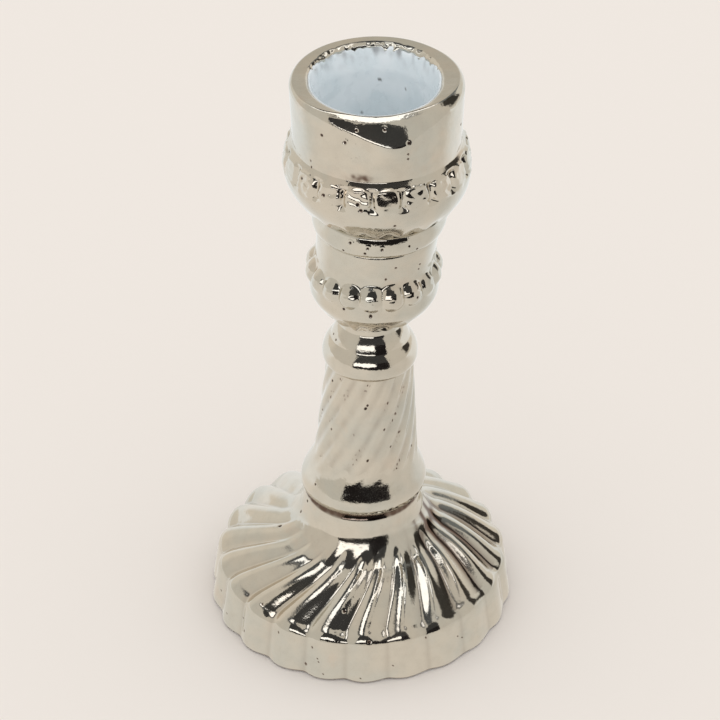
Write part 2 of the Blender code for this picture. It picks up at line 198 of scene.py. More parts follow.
def lifted(r, z, lift, upright=None):
    """The surface moved outwards by lift, square to its outline, or level where upright."""
    out_r, out_z = -np.gradient(z, axis=0), np.gradient(r, axis=0)
    length = np.hypot(out_r, out_z) + 1e-9
    out_r, out_z = out_r / length, out_z / length
    if upright is not None:
        out_r, out_z = np.where(upright, 1.0, out_r), np.where(upright, 0.0, out_z)
    return r + lift * out_r, z + lift * out_z


def sway(z):
    """Sideways drift of the axis at these heights, eased where the stack bends."""
    heights, drifts = np.array(SWAY).T
    spread = np.linspace(-2.5, 2.5, 11)
    weight = np.exp(-0.5 * (spread / 1.2) ** 2)
    total = sum(w * np.interp(z + s, heights, drifts) for w, s in zip(weight, spread))
    return total / weight.sum()


def waves(angle, z, amount, seed):
    """Slow unevenness of a hand-made surface, in millimetres."""
    rng = np.random.default_rng(seed)
    total = np.zeros(np.broadcast(angle, z).shape)
    for turns in (1, 2, 3, 5, 7, 9, 12):
        rise, phase = rng.uniform(-0.2, 0.2), rng.uniform(0, 2 * math.pi)
        total += rng.uniform(0.4, 1.0) / turns**0.5 * np.sin(turns * angle + rise * z + phase)
    return amount * total


def lumps(angle, z, pitch, seed):
    """Small irregular lumps about a pitch apart, from -1 to 1."""
    rng = np.random.default_rng(seed)
    total = np.zeros(np.broadcast(angle, z).shape)
    for _ in range(14):
        turn, phase = rng.uniform(0, 2 * math.pi), rng.uniform(0, 2 * math.pi)
        rate = 2 * math.pi / pitch * rng.uniform(0.6, 1.5)
        across = np.round(rate * math.cos(turn) * 14)
        total += np.sin(across * angle + rate * math.sin(turn) * z + phase)
    return np.clip(total / 5, -1, 1)


def bump(x, width):
    """A smooth hump of height 1 round 0."""
    return np.exp(-0.5 * (x / width) ** 2)


def ramp(x, start, end):
    """0 up to start, 1 from end on, and straight between."""
    return np.clip((x - start) / (end - start), 0, 1)


def ease(x, start, end):
    """0 up to start, 1 from end on, and smooth between."""
    t = ramp(x, start, end)
    return t * t * (3 - 2 * t)


def off_crest(angle, count, first=0.0):
    """How far each angle lies from the nearest of evenly spaced crests, from -1 to 1."""
    share = (angle - first) * count / (2 * math.pi)
    return 2 * (share - np.round(share))


def groove(off, width, power=2.0):
    """Depth of a reeded surface with rounded grooves: none on a crest, 1 in a groove."""
    near = 1 - np.sqrt((1 - np.abs(off)) ** 2 + width**2)
    return np.clip(near, 0, None) ** power / (1 - width) ** power


def rolled(off):
    """Depth of a surface in smooth waves: none on a crest, 1 in a groove."""
    return 0.5 - 0.5 * np.cos(math.pi * off)


def wrapped(turn):
    """The same turn, from minus half a turn to half a turn."""
    return (turn + math.pi) % (2 * math.pi) - math.pi


def near_turn(angle, turn, width):
    """1 at this turn from the front, and less to both sides of it."""
    return bump(wrapped(angle - turn), width)


def pin_holes(r, z, angle, spots, outside=0.2):
    """Depth and darkness of pin holes, each given by its degrees from the front, height and radius.

    Where a wall has two sides at that place, outside picks the outer one, or below 0 the inner one.
    """
    angle = np.broadcast_to(angle, r.shape)
    dent, dark = np.zeros_like(r), np.zeros_like(r)
    x, y = r * np.sin(angle), -r * np.cos(angle)
    for degrees, height, width in spots:
        size = 0.75 * width
        off = np.abs(wrapped(angle - math.radians(degrees))) * r + np.abs(z - height) - outside * r
        at = np.unravel_index(np.argmin(off), r.shape)
        away = np.sqrt((x - x[at]) ** 2 + (y - y[at]) ** 2 + (z - z[at]) ** 2) / size
        dent += size * (0.1 * bump(away - 1.6, 0.4) - 0.6 * bump(away, 0.6))
        dark = np.maximum(dark, 1 - ease(away, 0.55, 1.15))
    return dent, dark


def strewn(r, z, seed, count, where, least=0.18, most=0.4):
    """Pin holes scattered over the part of a skin where they may lie."""
    rng = np.random.default_rng(seed)
    rows, columns = np.nonzero(np.broadcast_to(where, r.shape))
    turns = around_axis(r.shape[1])
    picks = rng.integers(0, len(rows), count)
    sizes = rng.uniform(least, most, count)
    return [
        (math.degrees(turns[columns[k]]), z[rows[k], columns[k]], size)
        for k, size in zip(picks, sizes)
    ]


def skin(name, r, z, angle, hidden, marks_and_shade, shift=None):
    """A closed mesh through rings of points, joined end to end by the hidden rings."""
    rows, count = r.shape
    inner = np.array(hidden, float)
    r = np.concatenate([r, np.repeat(inner[:, :1], count, axis=1)])
    z = np.concatenate([z, np.repeat(inner[:, 1:], count, axis=1)])
    angle = np.broadcast_to(angle, (rows, count))
    share = np.linspace(0, 1, len(inner) + 2)[1:-1, None]
    angle = np.concatenate([angle, angle[-1] + share * (angle[0] - angle[-1])])
    points = np.stack([r * np.sin(angle) + sway(z), -r * np.cos(angle), z], 2)
    if shift is not None:
        points[:rows, :, 0] += shift
    i, j = np.meshgrid(np.arange(len(r)), np.arange(count), indexing="ij")
    down, across = (i + 1) % len(r), (j + 1) % count
    corners = (i * count + j, down * count + j, down * count + across, i * count + across)
    faces = np.stack(corners, 2).astype(np.int32)
    mesh = bpy.data.meshes.new(name)
    mesh.vertices.add(r.size)
    mesh.vertices.foreach_set("co", (points * 0.001).astype(np.float32).ravel())
    mesh.loops.add(faces.size)
    mesh.loops.foreach_set("vertex_index", faces.ravel())
    mesh.polygons.add(r.size)
    mesh.polygons.foreach_set("loop_start", np.arange(0, faces.size, 4, dtype=np.int32))
    mesh.update(calc_edges=True)
    mesh.shade_smooth()
    dark_share = np.zeros_like(r)
    dark_share[:rows] = marks_and_shade
    # This map holds pin holes and stains, and painted shade in grooves, joints and creases and at
    # the floor.
    layer = mesh.attributes.new("marks_and_shade", "FLOAT", "POINT")
    layer.data.foreach_set("value", dark_share.astype(np.float32).ravel())
    piece = bpy.data.objects.new(name, mesh)
    bpy.context.scene.collection.objects.link(piece)
    return piece


# Pin holes in the glaze, as degrees from the front, height and radius.
HOLES = {
    "foot": [(-75, 21.6, 0.4), (-81, 17.3, 0.5), (-46, 11, 0.35), (-34, 8, 0.35), (-19, 7, 0.35)]
    + [(3, 9.5, 0.5), (-8, 13.3, 0.45), (26, 8.3, 0.35), (-52, 3.3, 0.4), (-22, 2.5, 0.4)],
    "collar": [(-70, 24.8, 0.4)],
    "base_ring": [(26, 28.2, 0.6), (-55, 31.4, 0.3)],
    "stem": [(20, 46.5, 0.35), (-56, 55.5, 0.35), (-48, 44.7, 0.3), (1, 39.5, 0.38)]
    + [(29, 42, 0.3), (65, 39, 0.3), (-75, 46.5, 0.3), (-4, 51.7, 0.45), (-2, 52.5, 0.35)],
    "top_ring": [(-77, 64.3, 0.3), (-64, 64, 0.3)],
    "knop": [(18, 86, 0.35), (46, 84.8, 0.35), (45, 83.8, 0.3), (10, 83.6, 0.35), (-28, 76.7, 0.4)]
    + [(-6, 77.3, 0.4), (-3, 76, 0.5), (38, 78.7, 0.35)],
    "band": [(-12, 90.3, 0.4), (-10, 91.5, 0.4), (2, 91.4, 0.4), (25, 91.3, 0.35), (34, 90, 0.35)]
    + [(-26, 92, 0.4), (-32, 89.8, 0.35)],
    "cup": [(-40, 115.6, 0.4), (-22, 115.4, 0.4), (6, 118.2, 0.4), (21, 115.7, 0.5)]
    + [(20, 113.6, 0.3), (20, 112.5, 0.3), (74, 113.3, 0.4), (-50, 109.2, 0.3)]
    + [(-49, 108, 0.3), (-53, 105.4, 0.35), (10, 99.3, 0.35), (34, 106, 0.35)]
    + [(-10, 103, 0.5), (-14, 118, 0.4), (-12, 104.2, 0.5), (-34, 104.5, 0.45)],
    "lining": [(150, 112, 0.3), (-168, 106, 0.35), (175, 113, 0.5)],
}


def gadroon_press(base, r, run, start, end, off):
    """How far the foot is pressed in between its gadroons, which are flatter at the right front."""
    down = ramp(run, start, end)
    grown = 0.4 * ease(run, start - 0.8, start + 2.5) + 0.6 * ease(run, start, end - 1.5)
    depth = GADROON_DEPTH_SHARE * r * grown * (1 - 0.4 * ease(run, end - 0.5, end + 3.5))
    calm, right = near_turn(base, *GADROON_CALM), near_turn(base, *GADROON_DARK)
    rolling = rolled(off)
    reeded = (1 - calm) * groove(off, 0.25, 2.0) + calm * (0.46 + 0.06 * right) * rolling
    bulge = 0.45 * calm * np.sin(math.pi * down) * (1 - rolling)
    return depth * reeded - bulge


def foot_darkening(base, r, z, run, start, end, off):
    """Darkness of the foot: faint in the grooves, stronger on the right, and a painted contact
    shadow at the floor.
    """
    down = ramp(run, start, end)
    faint = 0.15 * groove(off, 0.1, 7) * ease(run, start, start + 3)
    right = near_turn(base, *GADROON_DARK) * (r < FOOT_BROW[0] + 0.1)
    crown = bump(down - 0.04, 0.06) * ease(r, 13.2, 14.5)
    grooves = np.clip(crown + groove(off, 0.2, 2.0) * (1 - 0.6 * down), 0, 1)
    # Painted contact shadow along the bottom of the skirt, where it meets the floor.
    contact_shadow = (1 - ease(z, 0.15, 0.7)) * (r > FOOT_RADIUS - 2)
    return faint + 0.7 * right * grooves + 0.9 * contact_shadow


def foot():
    """A coved crown, a dome of swirled gadroons with blunt ends, and a scalloped skirt."""
    hole, ceiling = LOWER_TENON_RADIUS + LUTE, FOOT_HEIGHT - FOOT_WALL
    crown, rim = FOOT_HEIGHT + 1.4, FOOT_RADIUS - FOOT_WALL
    outline = softened(
        [
            [(hole, crown), (COLLAR_RADIUS - 0.35, crown)],
            curve((COLLAR_RADIUS, FOOT_HEIGHT + 0.4), FOOT_COVE, (0.2, 0.51), (0.58, 0.8)),
            curve(FOOT_COVE, FOOT_BROW, (0.33, 0.21), (0.66, 0.55)),
            curve(FOOT_BROW, SKIRT_TOP, (0.6, 0.25), (0.94, 0.6)),
            [(FOOT_RADIUS, SKIRT_EDGE), (FOOT_RADIUS - SKIRT_EDGE, 0.0), (rim, 0.0)],
        ],
        0.3,
        180,
    )
    base = around_axis(GADROON_COUNT * 24)
    r, z = turned(outline, len(base))
    run = run_of(outline)[:, None]
    start = run[np.argmin(np.abs(outline[:, 0] - GADROON_START_RADIUS))]
    end = run[np.argmin(np.hypot(*(outline - FOOT_BROW).T))]
    swirl = GADROON_SWIRL * (1.1 - 0.44 * np.sin(base)) * (1 - ramp(run, start, end)) ** 1.3
    turn = base + GADROON_FRONT + swirl
    off = off_crest(base, GADROON_COUNT)
    off = off + GADROON_LEAN * (1 - off**2)
    press = gadroon_press(base, r, run, start, end, off)
    skirt = (z < SKIRT_HEIGHT) & (z > 1.2) & (np.abs(base + 0.5) < 1.3)
    spots = HOLES["foot"] + strewn(r, z, seed=6, count=14, where=skirt, least=0.15, most=0.26)
    dent, dark = pin_holes(r, z, turn, spots)
    uneven = (waves(base, z, 0.06, 3) - 0.1) * ease(r, 13, 18)
    under = np.cumsum(z < SKIRT_EDGE + 0.2, axis=0) > 0
    r, z = lifted(r, z, uneven - press + dent * ~under, under)
    hidden = curve((rim, 1.0), (hole, ceiling), (0.05, 0.5), (0.55, 0.9), 6)
    dark_share = np.maximum(foot_darkening(base, r, z, run, start, end, off), dark)
    return skin("foot_gadrooned", r, z, turn, hidden, np.clip(dark_share, 0, 1))


def collar():
    """The plain ring on the crown of the foot, with shade painted where it meets the ring above."""
    hole, low = LOWER_TENON_RADIUS + LUTE, COLLAR_SEAT
    high, top = low + COLLAR_HEIGHT, COLLAR_RADIUS - COLLAR_DRAFT
    outline = softened(
        [
            [(hole, high), (top - 0.9, high), (top, high - 1.1)],
            [(COLLAR_RADIUS - COLLAR_DRAFT / 2, low + COLLAR_HEIGHT / 3)],
            [(COLLAR_RADIUS - 0.05, low + 0.6), (COLLAR_RADIUS + 0.2, low - 0.2)],
            [(COLLAR_RADIUS + 0.4, low - 1.2)],
        ],
        0.35,
        90,
    )
    base = around_axis(360)
    r, z = turned(outline, len(base))
    dent, dark = pin_holes(r, z, base, HOLES["collar"])
    # Painted shade at the top of the collar, in the crease under the ring above.
    joint_shade = 0.65 * ease(z, high - 1.5, high - 0.8) * (0.9 + 0.2 * lumps(base, z, 2.5, 12))
    r, z = lifted(r, z, waves(base, z, 0.05, 11) * (r > 10) + dent)
    dark_share = np.clip(np.maximum(joint_shade, dark), 0, 1)
    return skin("foot_collar_glazed", r, z, base, [(hole, low - 1.2)], dark_share)


def base_ring():
    """The half-round ring that the stem stands on, run into the stem by thick glaze."""
    hole, low = LOWER_TENON_RADIUS + LUTE, BASE_RING_SEAT
    widest = (BASE_RING_RADIUS, low + 0.3 * BASE_RING_HEIGHT)
    shoulder = (STEM_FOOT_RADIUS - 0.35, low + BASE_RING_HEIGHT + 3.9)
    outline = softened(
        [
            [(hole, shoulder[1] + 0.8), (shoulder[0] - 0.6, shoulder[1] + 0.8)],
            curve(shoulder, widest, (0.04, 0.49), (1.0, 0.74)),
            quarter(widest, (0.92 * BASE_RING_RADIUS, low - 0.1), False),
            [(hole, low - 0.1)],
        ],
        0.15,
        140,
    )
    base = around_axis(400)
    r, z = turned(outline, len(base))
    dent, dark = pin_holes(r, z, base, HOLES["base_ring"])
    off = off_crest(base - flute_twist(z), FLUTE_COUNT)
    outer = r > 9
    flutes = 0.2 * rolled(off) * ease(z, low + 6, low + 10.4) * outer
    r, z = lifted(r, z, waves(base, z, 0.03, 5) * outer - flutes + dent)
    # Painted shade at the bottom of the ring, in the crease where it sits on the collar.
    joint_shade = 0.65 * (1 - ease(z, low + 0.3, low + 1.2)) * (0.9 + 0.2 * lumps(base, z, 2.5, 6))
    dark_share = np.clip(np.maximum(joint_shade * outer, dark), 0, 1)
    return skin("stem_base_ring_glazed", r, z, base, [(hole, low + 2)], dark_share)


def flute_twist(z):
    """How far the stem's flutes have turned at these heights."""
    return FLUTE_TWIST * (z - STEM_SEAT) / STEM_LENGTH


def stem():
    """A tapered shaft with shallow worn flutes that climb to the right."""
    low, high = STEM_SEAT - 1.0, STEM_SEAT + STEM_LENGTH + 1.0
    slope = (STEM_HEAD_RADIUS - STEM_FOOT_RADIUS) / STEM_LENGTH
    outline = softened(
        [
            [(UPPER_TENON_RADIUS, high), (STEM_HEAD_RADIUS + slope, high)],
            [(STEM_FOOT_RADIUS - slope, low), (UPPER_TENON_RADIUS, low)],
        ],
        0.2,
        200,
    )
    base = around_axis(FLUTE_COUNT * 26)
    r, z = turned(outline, len(base))
    turn = base + flute_twist(outline[:, 1:])
    off = off_crest(base, FLUTE_COUNT)
    worn = 0.8 + 0.3 * lumps(turn, z, 9.0, 6)
    press = FLUTE_DEPTH * worn * rolled(off) * (r > STEM_HEAD_RADIUS - 1)
    dent, dark = pin_holes(r, z, turn, HOLES["stem"])
    r, z = lifted(r, z, waves(turn, z, 0.04, 7) * (r > 8) - press + dent)
    # Painted shade along the flute grooves; the smudges are dark spots in the groove bottoms.
    groove_shade = rolled(off) * (0.14 + 0.06 * lumps(turn, z, 6.0, 8))
    smudge = 0.6 * groove(off, 0.1, 5) * np.clip(3 * lumps(turn, z, 1.1, 15) - 1.4, 0, 1)
    smudge = smudge * np.clip(2.5 * lumps(turn, z, 8.0, 16) - 0.6, 0, 1)
    hidden = [(UPPER_TENON_RADIUS, low + 8), (UPPER_TENON_RADIUS, high - 8)]
    dark_share = np.clip(np.maximum(groove_shade + smudge, dark), 0, 1)
    return skin("stem_fluted", r, z, turn, hidden, dark_share)


def top_ring():
    """A domed ring with a faint second bulge, under the knop."""
    hole, low = UPPER_TENON_RADIUS + LUTE, TOP_RING_SEAT
    high = low + TOP_RING_HEIGHT
    widest = (TOP_RING_RADIUS, low + TOP_RING_EDGE)
    waist = (TOP_RING_WAIST_RADIUS, low + TOP_RING_WAIST_HEIGHT)
    outline = softened(
        [
            [(hole, high + 0.3), (5.75, high + 0.3), (5.8, high - 0.9)],
            curve((6.0, high - 1.3), waist, (0.49, 0.27), (0.77, 0.64)),
            curve(waist, widest, (0.61, 0.24), (1.0, 0.63)),
            quarter(widest, (0.91 * TOP_RING_RADIUS, low - 0.1), False),
            [(hole, low - 0.1)],
        ],
        0.16,
        140,
    )
    base = around_axis(400)
    r, z = turned(outline, len(base))
    dent, dark = pin_holes(r, z, base, HOLES["top_ring"])
    r, z = lifted(r, z, waves(base, z, 0.035, 21) * (r > 5.8) + dent)
    return skin("stem_top_ring_glazed", r, z, base, [(hole, low + 4)], dark)


def knop():
    """A bowl with a row of round beads on its brow, and a plain tube above."""
    low = KNOP_SEAT
    land, top = low + KNOP_BOWL_HEIGHT + KNOP_LAND_HEIGHT, low + KNOP_HEIGHT + 0.3
    outline = softened(
        [
            [(KNOP_TENON_RADIUS, top), (KNOP_TUBE_RADIUS, top)],
            [(KNOP_TUBE_RADIUS + LUTE, top - 3 * LUTE)],
            [(KNOP_TUBE_RADIUS, land + 1.0), (KNOP_TUBE_RADIUS + 0.3, land - 0.6)],
            [(KNOP_BOWL_RADIUS - 0.2, land - 2.6), (KNOP_BOWL_RADIUS, land - 3.8)],
            curve(
                (KNOP_BOWL_RADIUS, low + 0.8 * KNOP_BOWL_HEIGHT),
                (KNOP_NECK_RADIUS, low),
                (0.0, 0.4),
                (0.75, 0.85),
            ),
            [(KNOP_NECK_RADIUS, low - 0.3), (UPPER_TENON_RADIUS, low - 0.3)],
        ],
        0.3,
        1200,
    )
    middle = land - KNOP_BEAD_BELOW_LAND
    outline = closer_rows(outline, 200, middle, 1.6)
    base = around_axis(KNOP_BEAD_COUNT * 26)
    r, z = turned(outline, len(base))
    lift = np.zeros_like(r)
    for turn in KNOP_BEAD_FRONT + np.arange(KNOP_BEAD_COUNT) * 2 * math.pi / KNOP_BEAD_COUNT:
        radius = KNOP_BEAD_RADIUS * (1 + KNOP_BEAD_UNEVEN * math.sin(3 * turn + 1))
        across = wrapped(base - turn) * KNOP_BOWL_RADIUS
        sphere = np.sqrt(np.clip(radius**2 - across**2 - (z - middle) ** 2, 0, None))
        swell = sphere - KNOP_BEAD_SUNK * radius
        lift = np.maximum(lift, 0.5 * (swell + np.hypot(swell, KNOP_BEAD_BLEND)))
    lobes = 0.28 * np.cos(KNOP_BEAD_COUNT * base + 0.6) * bump(z - (low + 2.4), 1.2)
    lift += lobes * (r > 6) + waves(base, z, 0.05, 13) * (r > 7)
    lift += 0.03 * lumps(base, z, 1.1, 14) * bump(z - middle, 1.2)
    dent, dark = pin_holes(r, z, base, HOLES["knop"])
    r, z = lifted(r, z, lift + dent)
    hidden = [(UPPER_TENON_RADIUS, low + 4), (KNOP_TENON_RADIUS, top - 4)]
    return skin("knop_beaded", r, z, base, hidden, dark)


def band():
    """The half-round ring between the knop and the cup."""
    low, edge = BAND_SEAT, BAND_RADIUS - BAND_BULGE
    high, hole = low + BAND_HEIGHT, KNOP_TENON_RADIUS + LUTE
    middle = (BAND_RADIUS, low + BAND_HEIGHT / 2)
    outline = softened(
        [
            [(hole, high + 0.2), (edge, high + 0.2)],
            curve((edge + 0.87, high), middle, (0.5, 0.35), (1.0, 0.65)),
            quarter(middle, (edge, low - 0.2), False),
            [(hole, low - 0.2)],
        ],
        0.15,
        140,
    )
    base = around_axis(420)
    r, z = turned(outline, len(base))
    dent, dark = pin_holes(r, z, base, HOLES["band"])
    r, z = lifted(r, z, waves(base, z, 0.04, 17) * (r > 10) + dent)
    return skin("neck_band_glazed", r, z, base, [(hole, low + 2)], dark)


# How far the mouth lies off the cup's middle towards +X.
MOUTH_DRIFT = -0.45

# How far the mouth's worn edge lies outside the socket at the back.
MOUTH_FLARE = 1.4

# Square beads round the cup: angle from the front in degrees, height, and roughness.
PADS = [(-31, 0.8, 0.14), (-12.5, 1.0, 0.07), (6, 1.0, 0.02), (25, 0.8, 0.12), (45, 0.9, 0.12)]
PADS += [(63 + 19 * i, 0.4 if i in (12, 13) else 0.9, 0.08) for i in range(14)]

# The worn lip at these degrees from the front: how far in its bright edge starts, how far in
# from the outside its round ends, and how far below the top that is.
LIP_WEAR = (
    (-180, 0.6, 0.1, 0.7),
    (-90, 0.6, 0.1, 0.7),
    (-60, 0.9, 0.2, 1.0),
    (-42, 1.9, 0.8, 1.7),
    (-28, 3.2, 1.5, 2.3),
    (-18, 3.7, 1.5, 2.5),
    (-5, 3.7, 0.9, 3.7),
    (12, 3.7, 0.0, 5.2),
    (22, 3.7, 0.3, 4.4),
    (30, 3.6, 1.0, 3.6),
    (40, 3.2, 1.2, 3.2),
    (55, 2.4, 0.9, 2.4),
    (70, 1.8, 0.5, 1.8),
    (85, 1.2, 0.2, 1.4),
    (105, 0.7, 0.1, 0.8),
    (180, 0.6, 0.1, 0.7),
)


def flare(angle):
    """How far the mouth opens outwards at the back, where its edge is worn thin."""
    return MOUTH_FLARE * np.clip(-np.cos(angle), 0, 1)


def cup_outline(angle, wear, end, drop):
    """The cup from inside its mouth to its foot, with its lip worn as given."""
    low, radius, top = CUP_SEAT, SOCKET_RADIUS + LIP_WIDTH, RIM - 0.3
    inside, mouth = SOCKET_RADIUS + 0.1, SOCKET_RADIUS + 0.1 + flare(angle)
    waist, belt = radius - CUP_WAIST, CUP_BOWL_RADIUS - 0.1
    brow, land = low + CUP_BOWL_HEIGHT, low + CUP_BOWL_HEIGHT + CUP_LAND_HEIGHT
    strip = min(1.2, 0.5 * wear)
    bend = (radius - wear + 0.73 * strip, top - 0.68 * strip)
    return softened(
        [
            [(inside, top - 5), (mouth - 0.15, top - 0.7), (mouth + 0.5, top - 0.1)],
            [(radius - wear, top), bend],
            curve(bend, (radius - end, top - drop), (0.41, 0.29), (0.75, 0.64)),
            [(waist, top - 8.2), (waist - 0.1, land + 0.9), (waist + 0.5, land + 0.1)],
            [(waist + 1.12, land - 0.4), (belt, brow + 1.2), (belt + 0.05, brow + 0.2)],
            curve((belt - 0.05, brow - 0.8), (CUP_BASE_RADIUS, low), (0.05, 0.5), (0.6, 0.9)),
            [(CUP_BASE_RADIUS, low - 0.3), (KNOP_TENON_RADIUS, low - 0.3)],
        ],
        0.13,
        240,
    )


def lip_wear(angle):
    """The columns of LIP_WEAR at these angles, eased from place to place."""
    degrees, *columns = np.array(LIP_WEAR).T
    spread = np.arange(-6, 7, 3)
    turned_by = np.degrees(angle)[:, None] + spread
    return [np.interp(turned_by, degrees, column).mean(1) for column in columns]


def cup():
    """A bowl with a belt of square beads, and a cylinder whose lip is worn round in front."""
    base = around_axis(CUP_BEAD_COUNT * 21)
    low, radius = CUP_SEAT, SOCKET_RADIUS + LIP_WIDTH
    brow, land = low + CUP_BOWL_HEIGHT, low + CUP_BOWL_HEIGHT + CUP_LAND_HEIGHT
    outlines = np.stack([cup_outline(*shape) for shape in zip(base, *lip_wear(base))], 1)
    r, z = outlines[:, :, 0], outlines[:, :, 1]
    mouth = np.cumsum(r > SOCKET_RADIUS + 0.5 + flare(base), axis=0) == 0
    belt = ease(z, brow - 0.8, brow + 0.6) * (1 - ease(z, land - 0.3, land + 0.1)) * ~mouth
    lift = 0.14 * lumps(base, z, 2.4, 51) * bump(z - brow, 0.5) * ~mouth
    gap_depth = 0.75 - 0.4 * bump(base, 0.5)
    gap_width = 0.12 + 0.16 * ((z - (brow + land) / 2) / 2.2) ** 2
    for degrees, height, rough in PADS:
        away = np.abs(wrapped(base - math.radians(degrees))) * CUP_BEAD_COUNT / math.pi
        lift -= gap_depth * height * bump(away - 1, np.minimum(gap_width, 0.34)) * belt
        face = (1 - ease(away, 0.8, 1.0)) * belt
        lift += rough * lumps(base, z, 1.7, 40 + int(degrees) % 17) * face
    hem = np.cos(CUP_BEAD_COUNT * base + 1.1)
    lift += 0.25 * hem * bump(z - (low + 1.6), 1.1) * (r > CUP_BASE_RADIUS)
    lift += waves(base, z, 0.04, 19) * ~mouth
    lift += 0.12 * lumps(base, z, 1.8, 77) * mouth * ease(np.abs(base), 1.6, 2.1)
    plain = ~mouth & (np.abs(base) > 1.6) & (r > 13) & (z < RIM - 2)
    spots = HOLES["cup"] + strewn(r, z, seed=5, count=26, where=plain)
    dent, dark = pin_holes(r, z, base, spots)
    # Painted shade on the hem's lobes under the bowl, and in a crease above the belt.
    stain_and_shade = 0.4 * np.clip(1.2 * hem, 0, 1) * bump(z - (low + 1.5), 0.6) * (r > CUP_BASE_RADIUS)
    crease = 0.7 * bump(z - (land + 1.7), 0.6) * bump(base + 0.19, 0.1) * (r > 14)
    crease = crease * (0.8 + 0.4 * lumps(base, z, 1.5, 61))
    dark = np.maximum(dark, np.maximum(stain_and_shade, crease))
    shift = MOUTH_DRIFT * (1 - ease(r, SOCKET_RADIUS + 0.6, radius)) * (z > RIM - 6)
    r, z = lifted(r, z, lift + dent)
    hidden = [(KNOP_TENON_RADIUS, low + 3.3), (SOCKET_RADIUS + 0.1, low + 6)]
    return skin("candle_cup_beaded", r, z, base, hidden, dark, shift)


def lining():
    """The white glaze inside the socket, with the ragged upper edge where the lustre ends."""
    low, floor_r = RIM - SOCKET_DEPTH, SOCKET_RADIUS - SOCKET_TAPER
    top = RIM - 0.6
    outline = softened(
        [
            [(0.2, low), (floor_r - 2, low)],
            quarter((floor_r - 2, low), (floor_r, low + 2), True),
            [(SOCKET_RADIUS - 0.1, top), (SOCKET_RADIUS + 0.3, top)],
            [(SOCKET_RADIUS + 0.3, low - 0.6)],
        ],
        0.08,
        100,
    )
    base = around_axis(300, 0.0)
    r, z = turned(outline, len(base))
    rear = ease(np.abs(base), 1.7, 2.4)
    drop = rear * (0.55 + 0.2 * lumps(base, 0 * base, 2.6, 3))
    z = np.where(z > low, low + (z - low) * (1 - drop / (top - low)), z)
    near_edge = bump(np.minimum(z - (top - drop), 0), 1.3)
    r = r + flare(base) * ramp(z, RIM - 5.3, RIM - 1.0)
    stain_and_shade = rear * near_edge * np.clip(lumps(base, 0.6 * z, 2.4, 9) + 0.1, 0, 1)
    specks = pin_holes(r, z, base, HOLES["lining"], outside=-0.2)[1]
    dark_share = np.maximum(0.7 * stain_and_shade, specks)
    return skin("socket_white_glaze", r, z, base, [(0.2, low - 0.6)], dark_share, MOUTH_DRIFT + 0 * r)


def feed(tree, socket, value):
    """Sets an input to a plain value, or links it to another node's output."""
    if isinstance(value, bpy.types.NodeSocket):
        tree.links.new(value, socket)
    else:
        socket.default_value = value


def calc(tree, operation, *values):
    """Output of a Math node."""
    node = tree.nodes.new("ShaderNodeMath")
    node.operation = operation
    for socket, value in zip(node.inputs, values):
        feed(tree, socket, value)
    return node.outputs[0]


def mixed(tree, share, under, over, blend_type="MIX"):
    """Colour that goes from under to over as share goes from 0 to 1."""
    node = tree.nodes.new("ShaderNodeMix")
    node.data_type = "RGBA"
    node.blend_type = blend_type
    colours = [socket for socket in node.inputs if socket.type == "RGBA"]
    feed(tree, node.inputs[0], share)
    for socket, value in zip(colours, (under, over)):
        feed(tree, socket, value if isinstance(value, bpy.types.NodeSocket) else (*value, 1))
    return next(socket for socket in node.outputs if socket.type == "RGBA")


def step(tree, value, start, end, low=0.0, high=1.0):
    """Smooth rise, or fall, of a value from low at start to high at end."""
    node = tree.nodes.new("ShaderNodeMapRange")
    node.interpolation_type = "SMOOTHSTEP"
    for name, number in (
        ("Value", value),
        ("From Min", start),
        ("From Max", end),
        ("To Min", low),
        ("To Max", high),
    ):
        feed(tree, node.inputs[name], number)
    return node.outputs["Result"]


def between(tree, value, low, high, soft):
    """1 where a value lies between low and high, with soft edges."""
    rise = step(tree, value, low - soft, low + soft)
    fall = step(tree, value, high - soft, high + soft, 1.0, 0.0)
    return calc(tree, "MULTIPLY", rise, fall)


def noise(tree, size, detail=3.0, roughness=0.55, stretch=None):
    """Noise whose features are about this many millimetres across."""
    place = tree.nodes.new("ShaderNodeTexCoord").outputs["Object"]
    if stretch is not None:
        mapping = tree.nodes.new("ShaderNodeMapping")
        mapping.inputs["Scale"].default_value = stretch
        tree.links.new(place, mapping.inputs["Vector"])
        place = mapping.outputs["Vector"]
    node = tree.nodes.new("ShaderNodeTexNoise")
    tree.links.new(place, node.inputs["Vector"])
    node.inputs["Scale"].default_value = 1000 / size
    node.inputs["Detail"].default_value = detail
    node.inputs["Roughness"].default_value = roughness
    return node.outputs["Fac"]


def marks_and_shade_input(tree):
    """The skin's pin holes and stains, and the shade painted in its grooves, joints and creases and
    at the floor.
    """
    node = tree.nodes.new("ShaderNodeAttribute")
    node.attribute_name = "marks_and_shade"
    return node.outputs["Fac"]


def bumped(tree, height, depth):
    """Normal of a surface that a noise roughens by this many millimetres."""
    node = tree.nodes.new("ShaderNodeBump")
    node.inputs["Distance"].default_value = depth * 0.001
    tree.links.new(height, node.inputs["Height"])
    return node.outputs["Normal"]


